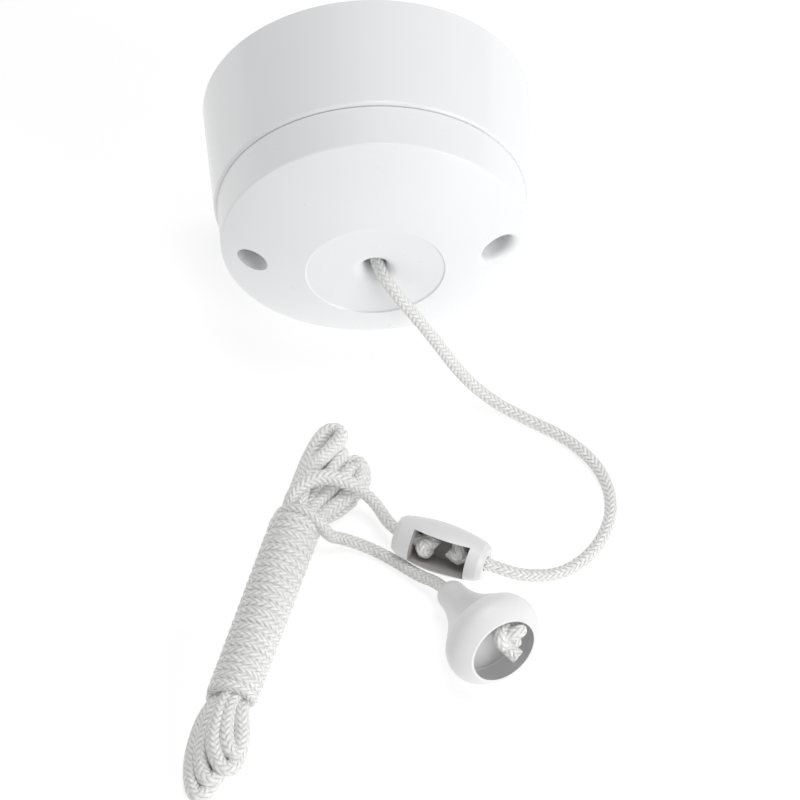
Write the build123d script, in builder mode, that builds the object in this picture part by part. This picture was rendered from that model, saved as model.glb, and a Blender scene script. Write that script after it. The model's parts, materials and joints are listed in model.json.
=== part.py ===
from build123d import *
import os
from math import cos, pi, radians, sin, tan

# Ceiling pull cord switch, in millimetres.
# The origin is the centre of the base's flat back, the face that meets the ceiling.
# The switch faces along -Y, and it lies on its side with its cord on the table below, so +Z is up.
# "Depth" is the distance from the back face towards the cord side, along -Y.

os.makedirs("parts", exist_ok=True)

# Base
BASE_BACK_R = 43.0
BASE_RIM_R = 40.5
BASE_DEPTH = 31.7
BASE_WALL = 2.5
BASE_FLOOR = 3.0
RIM_ROUND = 0.9
FIXING_SPACING = 51.0
FIXING_SLOT_R = 2.3
FIXING_SLOT_LENGTH = 10.0
ENTRY_R = 8.0
ENTRY_OFFSET = 16.0
KNOCKOUT_CUT = 1.8
KNOCKOUT_GROOVE = 0.8
EARTH_X = 15.0
EARTH_Z = -17.0
EARTH_TOP = 11.0
EARTH_WIDTH = 8.0
EARTH_HEIGHT = 7.0
EARTH_CABLE_R = 1.9
EARTH_CABLE_DEPTH = 6.2
EARTH_TAP_R = 1.6
EARTH_TAP_DEPTH = 4.5
EARTH_SCREW_R = 1.5
EARTH_SCREW_LENGTH = 2.5
EARTH_HEAD_R = 2.6
EARTH_HEAD_HEIGHT = 1.8

# Cover and its two fixing screws
SCREW_X = 31.0
POST_R = 4.2
POST_TOP = 27.5
INSERT_R = 2.6
INSERT_BORE_R = 1.75
INSERT_LENGTH = 12.0
INSERT_GAP = 0.03
TAP_RUNOUT = 2.0
SCREW_R = 1.7
SCREW_BORE_R = 1.95
SCREW_LENGTH = 15.0
SCREW_HEAD_R = 3.3
SCREW_HEAD_HEIGHT = 2.3
SCREW_HEAD_ROUND = 0.9
SLOT_WIDTH = 0.8
COVER_START = 31.95
COVER_SIDE_R = 39.7
FACE_EDGE_R = 39.0
FACE_EDGE_DEPTH = 43.3
DISC_R = 17.8
DISC_DEPTH = 53.1
DISC_STEP = 0.35
SPIGOT_R = 37.7
SPIGOT_START = 27.0
CAVITY_R = 35.7
CAVITY_TOP = 50.2
CAVITY_SIDE = 41.0
CAVITY_MIDDLE_R = 27.2
CAVITY_MIDDLE = 46.7
FACE_MIDDLE_R = 28.8
FACE_MIDDLE = 49.1
FACE_ROUND = 0.6
DISC_BEVEL = 0.35
DISC_DISH = 0.25
LIP_R = 3.4
CORD_BORE_R = 2.8
BOSS_R = 6.4
RECESS_R = 3.8
RECESS_TUBE_R = 5.8
RECESS_FLOOR = 30.0
RECESS_LIP = 1.8

# Mechanism housing
HOUSING_HALF_X = 17.0
HOUSING_HALF_Z = 16.0
HOUSING_WALL = 1.6
HOUSING_BACK = 22.0
HOUSING_FRONT = 45.6
PLATE_BACK = 20.0
EAR_X = 20.0
EAR_R = 3.0
EAR_BACK = 43.0
EAR_SCREW_R = 1.1
EAR_SCREW_LENGTH = 6.0
EAR_HEAD_R = 2.2
EAR_HEAD_HEIGHT = 1.8
RAIL_X = 6.3
RAIL_WIDTH = 1.6
RAIL_HEIGHT = 4.0
HOUSING_CORD_R = 3.4
HOUSING_ROUND = 2.0
TERMINAL_X = (-11.0, 0.0, 11.0)
TERMINAL_Z = 8.0
TERMINAL_BACK = 12.0
TERMINAL_WIDTH = 7.0
TERMINAL_HEIGHT = 8.0
TERMINAL_CABLE_R = 1.7
TERMINAL_TAP_R = 1.55
TERMINAL_TAP_DEPTH = 4.0
TERMINAL_SCREW_R = 1.45
TERMINAL_SCREW_LENGTH = 2.6
TERMINAL_HEAD_R = 2.3
TERMINAL_HEAD_HEIGHT = 1.6
BARRIER_X = 5.5
BARRIER_WIDTH = 1.2
BARRIER_HEIGHT = 10.0

# Moving parts inside
PLUNGER_BACK = 28.0
PLUNGER_FRONT = 33.0
PLUNGER_HALF_X = 5.0
PLUNGER_HALF_Z = 3.2
PAWL_BACK = 24.6
PAWL_WIDTH = 3.0
PAWL_SHEET = 0.8
PAWL_TOOTH = 0.5
WHEEL_DEPTH = 32.0
WHEEL_Z = -9.0
WHEEL_R = 4.0
WHEEL_ROOT_R = 3.0
TEETH = 8
AXLE_R = 1.0
AXLE_BORE_R = 1.05
ARM_DEPTH = 40.0
ARM_Z = -4.7
ARM_X = 7.5
ARM_PIN_R = 0.6
ARM_BORE_R = 0.66
TIP_DEPTH = 24.2
TIP_R = 1.2
TIP_HEIGHT = 0.8
ARM_WIDTH = 3.4
ARM_EYE_R = 1.4
STRIP_X = 12.4
STRIP_END = 41.6
STRIP_Z = -5.0
STRIP_WIDTH = 4.0
STRIP_SHEET = 0.8
FIXED_TOP = -7.5
FIXED_WIDTH = 3.0
DETENT_WIDTH = 3.0
DETENT_END = 36.0
DETENT_Z = -14.2
DETENT_SHEET = 0.4
DETENT_BUMP_R = 0.55
DETENT_BUMP_Z = -13.85
SPRING_R = 4.3
SPRING_WIRE_R = 0.35
SPRING_TURNS = 5

# Cord and what is on it
TABLE_Z = -43.0
CORD_R = 1.55
CORD_HOLE_R = 1.95
INNER_CORD_END = 46.0
CONNECTOR_LEFT = Vector(3.05, -108.4, -36.4)
CONNECTOR_HEADING = -25.0
CONNECTOR_LENGTH = 24.0
CONNECTOR_R = 6.5
CONNECTOR_END_R = 4.3
CONNECTOR_SHOULDER_R = 5.1
CONNECTOR_SHOULDER = 1.2
WINDOW_ELEVATION = 33.0
WINDOW_LENGTH = 14.9
WINDOW_WIDTH = 9.0
WINDOW_START = 5.0
WINDOW_FLOOR = 3.9
KNOT_R = 3.4
KNOT_ROUND = 1.6
BELL_KNOT_R = 3.3
BELL_KNOT_LENGTH = 6.2
INNER_KNOT_R = 2.7
BELL_MOUTH = Vector(27.2, -148.2, -28.85)
BELL_HEADING = -61.0
BELL_TILT = 17.0
BELL_LENGTH = 26.9
BOWL_R = 12.55
BOWL_WIDEST = 20.4
SHOULDER_R = 12.1
SHOULDER_AT = 19.3
MOUTH_R = 9.2
MOUTH_INNER_R = 8.6
BELL_FLOOR_AT = 18.8
BELL_WALL = 1.1

# Plane whose own z axis is the depth axis and whose own y axis is up
FACE = Plane(origin=(0, 0, 0), x_dir=(1, 0, 0), z_dir=(0, -1, 0))
SCREW_SPOTS = [(-SCREW_X, 0), (SCREW_X, 0)]
WHEEL_PLANE = Plane(origin=(0, -WHEEL_DEPTH, WHEEL_Z), x_dir=(0, 1, 0), z_dir=(1, 0, 0))
ARM_PLANE = Plane(origin=(0, -ARM_DEPTH, ARM_Z), x_dir=(0, 1, 0), z_dir=(1, 0, 0))


def save(part, name):
    """Labels one piece and writes its STEP file."""
    part.label = name
    export_step(part, f"parts/{name}.step")


# ---------------------------------------------------------------- base

with BuildPart() as mounting_base:
    with BuildSketch(Plane.XY):
        with BuildLine():
            Polyline(
                (0, 0),
                (BASE_BACK_R, 0),
                (BASE_RIM_R, -BASE_DEPTH),
                (BASE_RIM_R - BASE_WALL, -BASE_DEPTH),
                (BASE_BACK_R - BASE_WALL, -BASE_FLOOR),
                (0, -BASE_FLOOR),
                close=True,
            )
        make_face()
    revolve(axis=Axis.Y)
    front_rim = mounting_base.edges().filter_by(GeomType.CIRCLE).group_by(Axis.Y)[0]
    fillet(front_rim.sort_by(SortBy.RADIUS)[-1], RIM_ROUND)
    # Two posts that take the cover screws
    with BuildSketch(FACE.offset(BASE_FLOOR)):
        with Locations(*SCREW_SPOTS):
            Circle(POST_R)
    extrude(amount=POST_TOP - BASE_FLOOR)
    with BuildSketch(FACE.offset(POST_TOP)):
        with Locations(*SCREW_SPOTS):
            Circle(INSERT_R + INSERT_GAP)
    extrude(amount=-INSERT_LENGTH - TAP_RUNOUT, mode=Mode.SUBTRACT)
    # Two slots for the ceiling screws and one open cable entry
    with BuildSketch(FACE):
        with Locations((0, FIXING_SPACING / 2), (0, -FIXING_SPACING / 2)):
            SlotOverall(FIXING_SLOT_LENGTH, 2 * FIXING_SLOT_R, rotation=90)
        with Locations((-ENTRY_OFFSET, ENTRY_OFFSET)):
            Circle(ENTRY_R)
    extrude(amount=BASE_FLOOR, mode=Mode.SUBTRACT)
    # A knock-out for a second cable, still in place
    with BuildSketch(FACE.offset(BASE_FLOOR)):
        with Locations((ENTRY_OFFSET, ENTRY_OFFSET)):
            Circle(ENTRY_R)
            Circle(ENTRY_R - KNOCKOUT_GROOVE, mode=Mode.SUBTRACT)
    extrude(amount=-KNOCKOUT_CUT, mode=Mode.SUBTRACT)
save(mounting_base.part, "mounting_base")

with BuildPart() as post_inserts:
    with BuildSketch(FACE.offset(POST_TOP - INSERT_LENGTH)):
        with Locations(*SCREW_SPOTS):
            Circle(INSERT_R)
            Circle(INSERT_BORE_R, mode=Mode.SUBTRACT)
    extrude(amount=INSERT_LENGTH)
save(post_inserts.part, "post_inserts")

with BuildPart() as earth_terminal:
    with BuildSketch(FACE.offset(BASE_FLOOR)):
        with Locations((EARTH_X, EARTH_Z)):
            Rectangle(EARTH_WIDTH, EARTH_HEIGHT)
    extrude(amount=EARTH_TOP - BASE_FLOOR)
    chamfer(earth_terminal.edges().group_by(Axis.Y)[0], 0.5)
    with BuildSketch(Plane.YZ.offset(EARTH_X - EARTH_WIDTH / 2)):
        with Locations((-EARTH_CABLE_DEPTH, EARTH_Z)):
            Circle(EARTH_CABLE_R)
    extrude(amount=EARTH_WIDTH, mode=Mode.SUBTRACT)
    with BuildSketch(FACE.offset(EARTH_TOP)):
        with Locations((EARTH_X, EARTH_Z)):
            Circle(EARTH_TAP_R)
    extrude(amount=-EARTH_TAP_DEPTH, mode=Mode.SUBTRACT)
save(earth_terminal.part, "earth_terminal")

with BuildPart() as earth_screw:
    with BuildSketch(FACE.offset(EARTH_TOP - EARTH_SCREW_LENGTH)):
        with Locations((EARTH_X, EARTH_Z)):
            Circle(EARTH_SCREW_R)
    extrude(amount=EARTH_SCREW_LENGTH)
    with BuildSketch(FACE.offset(EARTH_TOP)):
        with Locations((EARTH_X, EARTH_Z)):
            Circle(EARTH_HEAD_R)
    extrude(amount=EARTH_HEAD_HEIGHT)
    with BuildSketch(FACE.offset(EARTH_TOP + EARTH_HEAD_HEIGHT)):
        with Locations((EARTH_X, EARTH_Z)):
            Rectangle(3 * EARTH_HEAD_R, SLOT_WIDTH)
    extrude(amount=-EARTH_HEAD_HEIGHT / 2, mode=Mode.SUBTRACT)
save(earth_screw.part, "earth_screw")

# ---------------------------------------------------------------- cover

# The space inside the cover, less the tubes, posts and boss that stand in it
with BuildPart() as cover_cavity:
    with BuildSketch(Plane.XY):
        with BuildLine():
            Polyline(
                (DISC_R - 1, -CAVITY_TOP),
                (0, -CAVITY_TOP),
                (0, -SPIGOT_START + 1),
                (CAVITY_R, -SPIGOT_START + 1),
                (CAVITY_R, -CAVITY_SIDE),
            )
            ThreePointArc(
                (CAVITY_R, -CAVITY_SIDE),
                (CAVITY_MIDDLE_R, -CAVITY_MIDDLE),
                (DISC_R - 1, -CAVITY_TOP),
            )
        make_face()
    revolve(axis=Axis.Y)
    with BuildSketch(FACE.offset(RECESS_FLOOR - 2)):
        with Locations(*SCREW_SPOTS):
            Circle(RECESS_TUBE_R)
    extrude(amount=DISC_DEPTH, mode=Mode.SUBTRACT)
    with BuildSketch(FACE.offset(HOUSING_FRONT)):
        Circle(BOSS_R)
        with Locations((-EAR_X, 0), (EAR_X, 0)):
            Circle(EAR_R)
    extrude(amount=DISC_DEPTH, mode=Mode.SUBTRACT)

with BuildPart() as cover:
    lip_depth = DISC_DEPTH - DISC_STEP - DISC_DISH
    with BuildSketch(Plane.XY):
        with BuildLine():
            Line((CORD_BORE_R, -SPIGOT_START), (CORD_BORE_R, -lip_depth + LIP_R))
            RadiusArc(
                (CORD_BORE_R, -lip_depth + LIP_R),
                (CORD_BORE_R + LIP_R, -lip_depth),
                -LIP_R,
            )
            Polyline(
                (CORD_BORE_R + LIP_R, -lip_depth),
                (DISC_R - DISC_BEVEL, -DISC_DEPTH + DISC_STEP),
                (DISC_R, -DISC_DEPTH),
            )
            ThreePointArc(
                (DISC_R, -DISC_DEPTH),
                (FACE_MIDDLE_R, -FACE_MIDDLE),
                (FACE_EDGE_R, -FACE_EDGE_DEPTH),
            )
            Polyline(
                (FACE_EDGE_R, -FACE_EDGE_DEPTH),
                (COVER_SIDE_R, -COVER_START),
                (SPIGOT_R, -COVER_START),
                (SPIGOT_R, -SPIGOT_START),
                (CORD_BORE_R, -SPIGOT_START),
            )
        make_face()
    revolve(axis=Axis.Y)
    face_edge = [
        edge
        for edge in cover.edges().filter_by(GeomType.CIRCLE)
        if abs(edge.radius - FACE_EDGE_R) < 0.05
    ]
    fillet(face_edge, FACE_ROUND)
    add(cover_cavity.part, mode=Mode.SUBTRACT)
    with BuildSketch(FACE.offset(RECESS_FLOOR)):
        with Locations(*SCREW_SPOTS):
            Circle(RECESS_R)
    extrude(amount=DISC_DEPTH, mode=Mode.SUBTRACT)
    mouths = [
        edge
        for edge in cover.edges()
        if edge.center().Y < -44 and abs(abs(edge.center().X) - SCREW_X) < 1.5
    ]
    fillet(mouths, RECESS_LIP)
    with BuildSketch(FACE.offset(RECESS_FLOOR - 2)):
        with Locations(*SCREW_SPOTS):
            Circle(SCREW_BORE_R)
    extrude(amount=2, mode=Mode.SUBTRACT)
    with BuildSketch(FACE.offset(HOUSING_FRONT)):
        with Locations((-EAR_X, 0), (EAR_X, 0)):
            Circle(EAR_SCREW_R + 0.05)
    extrude(amount=3.6, mode=Mode.SUBTRACT)
save(cover.part, "cover")

with BuildPart() as cover_screws:
    with BuildSketch(FACE.offset(RECESS_FLOOR - SCREW_LENGTH)):
        with Locations(*SCREW_SPOTS):
            Circle(SCREW_R)
    extrude(amount=SCREW_LENGTH)
    with BuildSketch(FACE.offset(RECESS_FLOOR)):
        with Locations(*SCREW_SPOTS):
            Circle(SCREW_HEAD_R)
    extrude(amount=SCREW_HEAD_HEIGHT)
    head_tops = cover_screws.edges().filter_by(GeomType.CIRCLE).group_by(Axis.Y)[0]
    fillet(head_tops, SCREW_HEAD_ROUND)
    with BuildSketch(FACE.offset(RECESS_FLOOR + SCREW_HEAD_HEIGHT)):
        with Locations(*SCREW_SPOTS):
            Rectangle(3 * SCREW_HEAD_R, SLOT_WIDTH, rotation=35)
    extrude(amount=-SCREW_HEAD_HEIGHT / 2, mode=Mode.SUBTRACT)
save(cover_screws.part, "cover_screws")

# ---------------------------------------------------------------- mechanism housing

with BuildPart() as mechanism_body:
    with BuildSketch(FACE.offset(HOUSING_BACK)):
        RectangleRounded(2 * HOUSING_HALF_X, 2 * HOUSING_HALF_Z, HOUSING_ROUND)
    extrude(amount=HOUSING_FRONT - HOUSING_BACK)
    with BuildSketch(FACE.offset(HOUSING_BACK)):
        Rectangle(
            2 * (HOUSING_HALF_X - HOUSING_WALL), 2 * (HOUSING_HALF_Z - HOUSING_WALL)
        )
    extrude(amount=HOUSING_FRONT - HOUSING_BACK - HOUSING_WALL, mode=Mode.SUBTRACT)
    # Two rails that guide the plunger
    with BuildSketch(FACE.offset(HOUSING_BACK)):
        with Locations((-RAIL_X, 0), (RAIL_X, 0)):
            Rectangle(RAIL_WIDTH, RAIL_HEIGHT)
    extrude(amount=HOUSING_FRONT - HOUSING_BACK - HOUSING_WALL)
    # Ears for the two screws that hold the housing in the cover
    with BuildSketch(FACE.offset(EAR_BACK)):
        with Locations((-EAR_X, 0), (EAR_X, 0)):
            Circle(EAR_R)
        Rectangle(2 * EAR_X, 2 * EAR_R)
        Rectangle(2 * HOUSING_HALF_X - 1, 2 * EAR_R, mode=Mode.SUBTRACT)
    extrude(amount=HOUSING_FRONT - EAR_BACK)
    with BuildSketch(FACE.offset(EAR_BACK)):
        with Locations((-EAR_X, 0), (EAR_X, 0)):
            Circle(EAR_SCREW_R + 0.15)
    extrude(amount=HOUSING_FRONT - EAR_BACK, mode=Mode.SUBTRACT)
    with BuildSketch(FACE.offset(HOUSING_FRONT)):
        Circle(HOUSING_CORD_R)
    extrude(amount=-HOUSING_WALL, mode=Mode.SUBTRACT)
    with BuildSketch(WHEEL_PLANE.offset(-HOUSING_HALF_X)):
        Circle(AXLE_BORE_R)
    extrude(amount=2 * HOUSING_HALF_X, mode=Mode.SUBTRACT)
save(mechanism_body.part, "mechanism_body")

with BuildPart() as mechanism_plate:
    with BuildSketch(FACE.offset(PLATE_BACK)):
        RectangleRounded(2 * HOUSING_HALF_X, 2 * HOUSING_HALF_Z, HOUSING_ROUND)
    extrude(amount=HOUSING_BACK - PLATE_BACK)
    # Barriers between the terminals
    with BuildSketch(FACE.offset(TERMINAL_BACK - 1)):
        with Locations((-BARRIER_X, TERMINAL_Z), (BARRIER_X, TERMINAL_Z)):
            Rectangle(BARRIER_WIDTH, BARRIER_HEIGHT)
    extrude(amount=PLATE_BACK - TERMINAL_BACK + 1)
save(mechanism_plate.part, "mechanism_plate")

with BuildPart() as mechanism_screws:
    with BuildSketch(FACE.offset(EAR_BACK)):
        with Locations((-EAR_X, 0), (EAR_X, 0)):
            Circle(EAR_SCREW_R)
    extrude(amount=EAR_SCREW_LENGTH)
    with BuildSketch(FACE.offset(EAR_BACK)):
        with Locations((-EAR_X, 0), (EAR_X, 0)):
            Circle(EAR_HEAD_R)
    extrude(amount=-EAR_HEAD_HEIGHT)
    with BuildSketch(FACE.offset(EAR_BACK - EAR_HEAD_HEIGHT)):
        with Locations((-EAR_X, 0), (EAR_X, 0)):
            Rectangle(1.4 * EAR_HEAD_R, SLOT_WIDTH)
            Rectangle(SLOT_WIDTH, 1.4 * EAR_HEAD_R)
    extrude(amount=EAR_HEAD_HEIGHT / 2, mode=Mode.SUBTRACT)
save(mechanism_screws.part, "mechanism_screws")

for number, x in enumerate(TERMINAL_X, start=1):
    with BuildPart() as terminal:
        with BuildSketch(FACE.offset(TERMINAL_BACK)):
            with Locations((x, TERMINAL_Z)):
                Rectangle(TERMINAL_WIDTH, TERMINAL_HEIGHT)
        extrude(amount=PLATE_BACK - TERMINAL_BACK)
        chamfer(terminal.edges().group_by(Axis.Y)[-1], 0.4)
        with BuildSketch(Plane.XY.offset(TERMINAL_Z - TERMINAL_HEIGHT / 2)):
            with Locations((x, -PLATE_BACK + 3)):
                Circle(TERMINAL_CABLE_R)
        extrude(amount=TERMINAL_HEIGHT, mode=Mode.SUBTRACT)
        with BuildSketch(FACE.offset(TERMINAL_BACK)):
            with Locations((x, TERMINAL_Z)):
                Circle(TERMINAL_TAP_R)
        extrude(amount=TERMINAL_TAP_DEPTH, mode=Mode.SUBTRACT)
    save(terminal.part, f"terminal_{number}")

with BuildPart() as terminal_screws:
    terminal_spots = [(x, TERMINAL_Z) for x in TERMINAL_X]
    with BuildSketch(FACE.offset(TERMINAL_BACK)):
        with Locations(*terminal_spots):
            Circle(TERMINAL_SCREW_R)
    extrude(amount=TERMINAL_SCREW_LENGTH)
    with BuildSketch(FACE.offset(TERMINAL_BACK)):
        with Locations(*terminal_spots):
            Circle(TERMINAL_HEAD_R)
    extrude(amount=-TERMINAL_HEAD_HEIGHT)
    with BuildSketch(FACE.offset(TERMINAL_BACK - TERMINAL_HEAD_HEIGHT)):
        with Locations(*terminal_spots):
            Rectangle(3 * TERMINAL_HEAD_R, SLOT_WIDTH)
    extrude(amount=TERMINAL_HEAD_HEIGHT / 2, mode=Mode.SUBTRACT)
save(terminal_screws.part, "terminal_screws")

# ---------------------------------------------------------------- contacts

with BuildPart() as common_strip:
    with BuildSketch(Plane.YZ.offset(STRIP_X)):
        with Locations((-(HOUSING_BACK + STRIP_END) / 2, STRIP_Z)):
            Rectangle(STRIP_END - HOUSING_BACK, STRIP_WIDTH)
        with Locations((-ARM_DEPTH, ARM_Z)):
            Circle(ARM_BORE_R, mode=Mode.SUBTRACT)
    extrude(amount=STRIP_SHEET)
save(common_strip.part, "common_strip")

with BuildPart() as arm_pin:
    with BuildSketch(ARM_PLANE.offset(4.8)):
        Circle(ARM_PIN_R)
    extrude(amount=10.4)
save(arm_pin.part, "arm_pin")

with BuildPart() as contact_arm:
    with BuildSketch(ARM_PLANE.offset(ARM_X - ARM_WIDTH / 2)):
        Circle(ARM_EYE_R)
        with Locations(((ARM_DEPTH - TIP_DEPTH + 1.3) / 2, 0)):
            Rectangle(ARM_DEPTH - TIP_DEPTH + 1.3, 0.8)
        Circle(ARM_BORE_R, mode=Mode.SUBTRACT)
    extrude(amount=ARM_WIDTH)
save(contact_arm.part, "contact_arm")

with BuildPart() as contact_tip:
    with BuildSketch(Plane.XY.offset(ARM_Z - 0.4)):
        with Locations((ARM_X, -TIP_DEPTH)):
            Circle(TIP_R)
    extrude(amount=-TIP_HEIGHT)
save(contact_tip.part, "contact_tip")

with BuildPart() as fixed_contact:
    with BuildSketch(Plane.XY.offset(FIXED_TOP - 0.7)):
        with Locations((ARM_X, -(HOUSING_BACK + TIP_DEPTH + 1.4) / 2)):
            Rectangle(FIXED_WIDTH, TIP_DEPTH + 1.4 - HOUSING_BACK)
    extrude(amount=-0.8)
    with BuildSketch(Plane.XY.offset(FIXED_TOP - 0.7)):
        with Locations((ARM_X, -TIP_DEPTH)):
            Circle(TIP_R)
    extrude(amount=0.7)
save(fixed_contact.part, "fixed_contact")

# ---------------------------------------------------------------- ratchet wheel and cam

with BuildPart() as ratchet_wheel:
    with BuildSketch(WHEEL_PLANE.offset(-2)):
        with BuildLine():
            tooth_points = []
            for tooth in range(TEETH):
                angle = radians(360 * tooth / TEETH)
                tooth_points.append((WHEEL_ROOT_R * cos(angle), WHEEL_ROOT_R * sin(angle)))
                tooth_points.append((WHEEL_R * cos(angle), WHEEL_R * sin(angle)))
            Polyline(*tooth_points, close=True)
        make_face()
    extrude(amount=4)
    with BuildSketch(WHEEL_PLANE.offset(2)):
        Circle(2.2)
    extrude(amount=2.5)
    with BuildSketch(WHEEL_PLANE.offset(-2)):
        Circle(AXLE_BORE_R)
    extrude(amount=6.5, mode=Mode.SUBTRACT)
save(ratchet_wheel.part, "ratchet_wheel")

with BuildPart() as cam:
    with BuildSketch(WHEEL_PLANE.offset(4.5)) as cam_sketch:
        Rectangle(4.4, 4.4, rotation=45)
        fillet(cam_sketch.vertices(), 0.8)
        Circle(AXLE_BORE_R, mode=Mode.SUBTRACT)
    extrude(amount=5.5)
save(cam.part, "cam")

with BuildPart() as cam_axle:
    with BuildSketch(WHEEL_PLANE.offset(-HOUSING_HALF_X + 0.2)):
        Circle(AXLE_R)
    extrude(amount=2 * HOUSING_HALF_X - 0.4)
save(cam_axle.part, "cam_axle")

with BuildPart() as detent_spring:
    with BuildSketch(Plane.YZ.offset(-DETENT_WIDTH / 2)):
        with Locations((-(HOUSING_BACK + DETENT_END) / 2, DETENT_Z)):
            Rectangle(DETENT_END - HOUSING_BACK, DETENT_SHEET)
        with Locations((-WHEEL_DEPTH, DETENT_BUMP_Z)):
            Circle(DETENT_BUMP_R)
    extrude(amount=DETENT_WIDTH)
save(detent_spring.part, "detent_spring")

# ---------------------------------------------------------------- plunger

with BuildPart() as plunger:
    with BuildSketch(FACE.offset(PLUNGER_BACK)):
        RectangleRounded(2 * PLUNGER_HALF_X, 2 * PLUNGER_HALF_Z, 0.8)
        Circle(CORD_HOLE_R, mode=Mode.SUBTRACT)
    extrude(amount=PLUNGER_FRONT - PLUNGER_BACK)
save(plunger.part, "plunger")

with BuildPart() as pawl:
    with BuildSketch(Plane.YZ.offset(-PAWL_WIDTH / 2)):
        with BuildLine():
            Polyline(
                (-PLUNGER_FRONT, -PLUNGER_HALF_Z),
                (-PAWL_BACK, -PLUNGER_HALF_Z),
                (-PAWL_BACK, -PLUNGER_HALF_Z - PAWL_SHEET - PAWL_TOOTH),
                (-PAWL_BACK - 1.2, -PLUNGER_HALF_Z - PAWL_SHEET),
                (-PLUNGER_FRONT, -PLUNGER_HALF_Z - PAWL_SHEET),
                close=True,
            )
        make_face()
    extrude(amount=PAWL_WIDTH)
save(pawl.part, "pawl")

spring_height = HOUSING_FRONT - HOUSING_WALL - PLUNGER_FRONT - 1.0
with BuildPart() as return_spring:
    with BuildLine():
        spring_line = Helix(
            pitch=spring_height / SPRING_TURNS,
            height=spring_height,
            radius=SPRING_R,
            center=(0, -PLUNGER_FRONT - 0.5, 0),
            direction=(0, -1, 0),
        )
    with BuildSketch(Plane(origin=spring_line @ 0, z_dir=spring_line % 0)):
        Circle(SPRING_WIRE_R)
    sweep(path=spring_line, is_frenet=True)
save(return_spring.part, "return_spring")

# ---------------------------------------------------------------- pieces on the cord


def heading(degrees_from_x, degrees_up=0.0):
    """Unit vector at a heading in the table's plane and a rise above it."""
    turn = radians(degrees_from_x)
    rise = radians(degrees_up)
    return Vector(cos(turn) * cos(rise), sin(turn) * cos(rise), sin(rise))


connector_axis = heading(CONNECTOR_HEADING)
window_normal = heading(CONNECTOR_HEADING - 90, WINDOW_ELEVATION)
connector_side = Plane(
    origin=CONNECTOR_LEFT, x_dir=window_normal, z_dir=window_normal.cross(connector_axis)
)
with BuildPart() as connector:
    with BuildSketch(connector_side):
        with BuildLine():
            Polyline(
                (CONNECTOR_SHOULDER_R, CONNECTOR_SHOULDER),
                (CONNECTOR_END_R, 0),
                (CORD_HOLE_R, 0),
                (CORD_HOLE_R, CONNECTOR_LENGTH),
                (CONNECTOR_END_R, CONNECTOR_LENGTH),
                (CONNECTOR_SHOULDER_R, CONNECTOR_LENGTH - CONNECTOR_SHOULDER),
            )
            ThreePointArc(
                (CONNECTOR_SHOULDER_R, CONNECTOR_LENGTH - CONNECTOR_SHOULDER),
                (CONNECTOR_R, CONNECTOR_LENGTH / 2),
                (CONNECTOR_SHOULDER_R, CONNECTOR_SHOULDER),
            )
        make_face()
    revolve(axis=Axis(CONNECTOR_LEFT, connector_axis))
    shoulders = [
        edge
        for edge in connector.edges().filter_by(GeomType.CIRCLE)
        if abs(edge.radius - CONNECTOR_SHOULDER_R) < 0.01
    ]
    fillet(shoulders, 0.7)
    # Window pocket, open on one side
    window_plane = Plane(
        origin=CONNECTOR_LEFT, x_dir=connector_axis, z_dir=window_normal
    ).offset(-WINDOW_FLOOR)
    with BuildSketch(window_plane):
        with Locations((WINDOW_START + WINDOW_LENGTH / 2, 0)):
            Rectangle(WINDOW_LENGTH, WINDOW_WIDTH)
    extrude(amount=12, mode=Mode.SUBTRACT)
save(connector.part, "connector")

# The two knots that the connector holds, one on the end of each cord: place along it and length
KNOTS = {"knot_lower": (8.1, 5.2), "knot_upper": (16.6, 4.6)}
for name, (along, knot_length) in KNOTS.items():
    knot_spot = CONNECTOR_LEFT + connector_axis * along
    with BuildPart(Plane(origin=knot_spot, z_dir=connector_axis)) as knot:
        Cylinder(KNOT_R, knot_length)
        fillet(knot.edges(), KNOT_ROUND)
    save(knot.part, name)

bell_axis = heading(BELL_HEADING, BELL_TILT)
bell_side = heading(BELL_HEADING + 90)
bell_up = bell_axis.cross(bell_side)
bell_neck = BELL_MOUTH - bell_axis * BELL_LENGTH
bell_plane = Plane(origin=bell_neck, x_dir=bell_side, z_dir=bell_side.cross(bell_axis))
bowl_inner_r = BOWL_R - BELL_WALL
with BuildPart() as bell_pull:
    with BuildSketch(bell_plane):
        with BuildLine():
            Line((CORD_HOLE_R, 0), (2.7, 0))
            # Small collar, then a trumpet flare out to the shoulder
            Spline(
                (2.7, 0),
                (3.6, 1.1),
                (3.9, 3.4),
                (4.5, 6.6),
                (5.8, 9.9),
                (8.0, 13.6),
                (SHOULDER_R, SHOULDER_AT),
            )
            # Bulging side of the cup, in to the mouth
            Spline(
                (SHOULDER_R, SHOULDER_AT),
                (BOWL_R, BOWL_WIDEST + 0.8),
                (MOUTH_R, BELL_LENGTH),
                tangents=[(0.35, 1), (-1.0, 0.8)],
            )
            Line((MOUTH_R, BELL_LENGTH), (MOUTH_INNER_R, BELL_LENGTH))
            Spline(
                (MOUTH_INNER_R, BELL_LENGTH),
                (bowl_inner_r, BOWL_WIDEST + 1.4),
                (bowl_inner_r - 0.9, BELL_FLOOR_AT),
                tangents=[(1.0, -0.8), (-0.6, -1)],
            )
            Polyline(
                (bowl_inner_r - 0.9, BELL_FLOOR_AT),
                (CORD_HOLE_R, BELL_FLOOR_AT - 5.0),
                (CORD_HOLE_R, 0),
            )
        make_face()
    revolve(axis=Axis(bell_neck, bell_axis))
save(bell_pull.part, "bell_pull")

bell_knot_spot = BELL_MOUTH - bell_axis * 0.8 + bell_side * 2.2 + bell_up * 2.6
with BuildPart(Plane(origin=bell_knot_spot, z_dir=bell_axis)) as bell_knot:
    Cylinder(BELL_KNOT_R, BELL_KNOT_LENGTH)
    fillet(bell_knot.edges(), KNOT_ROUND)
save(bell_knot.part, "bell_knot")

# ---------------------------------------------------------------- cord


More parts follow.
